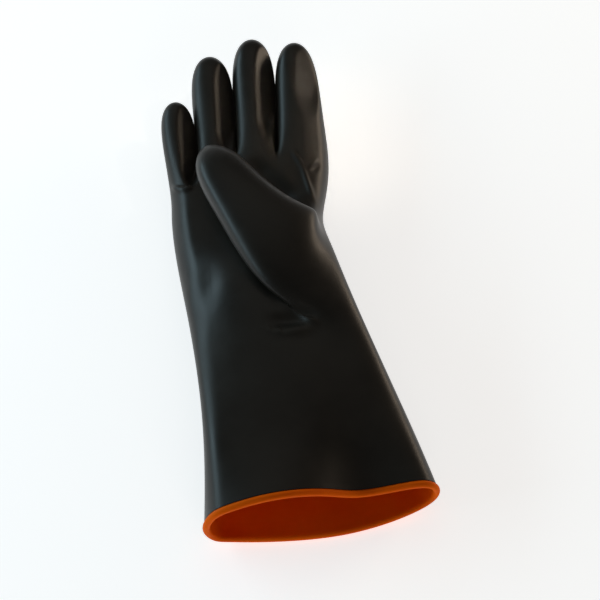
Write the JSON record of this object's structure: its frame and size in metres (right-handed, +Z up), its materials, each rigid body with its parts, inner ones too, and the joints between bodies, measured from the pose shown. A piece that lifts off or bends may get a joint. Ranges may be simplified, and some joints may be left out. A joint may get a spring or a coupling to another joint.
{
  "type": "rubber gauntlet glove",
  "caption": "Heavy black rubber gauntlet glove lying palm up, thumb folded over the palm, with a wide open cuff, a rolled orange rim and an orange inside.",
  "frame": {"origin": "on the surface the glove lies on, under the middle of its box", "axes": "+Y from the mouth to the fingertips, +X towards the thumb's side of the hand, +Z up out of the palm"},
  "size_m": [0.1418, 0.3525, 0.0677],
  "materials": {
    "black_rubber": "satin",
    "orange_rubber": "satin"
  },
  "bodies": {
    "root": {"outer_shell": "black_rubber", "inner_lining": "orange_rubber", "rolled_rim": "orange_rubber"}
  },
  "joints": []
}
